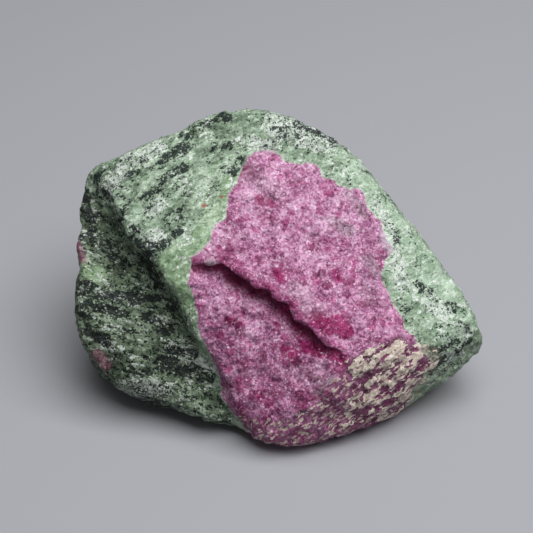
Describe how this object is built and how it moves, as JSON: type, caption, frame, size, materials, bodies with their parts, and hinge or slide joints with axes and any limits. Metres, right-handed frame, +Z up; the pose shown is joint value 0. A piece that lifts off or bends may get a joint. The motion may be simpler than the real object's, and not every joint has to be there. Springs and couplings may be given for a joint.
{
  "type": "ruby in zoisite specimen",
  "caption": "Rough hand specimen of ruby in zoisite: a blocky green stone with a broad pink ruby face and a broken ledge, standing on a flat underside.",
  "frame": {"origin": "middle of the stone's bounding box, at the height of the flat underside it rests on", "axes": "+Z up; +X along the stone's length, to the right seen from the ruby face; -Y is the front, where the ruby faces"},
  "size_m": [0.0696, 0.0512, 0.0443],
  "materials": {
    "ruby_in_zoisite": "rough broken stone: pale to mid green zoisite with black hornblende specks, pink-mauve granular ruby, and a thin cream crust at its lower right"
  },
  "bodies": {
    "root": {"ruby_in_zoisite": "ruby_in_zoisite"}
  },
  "joints": []
}
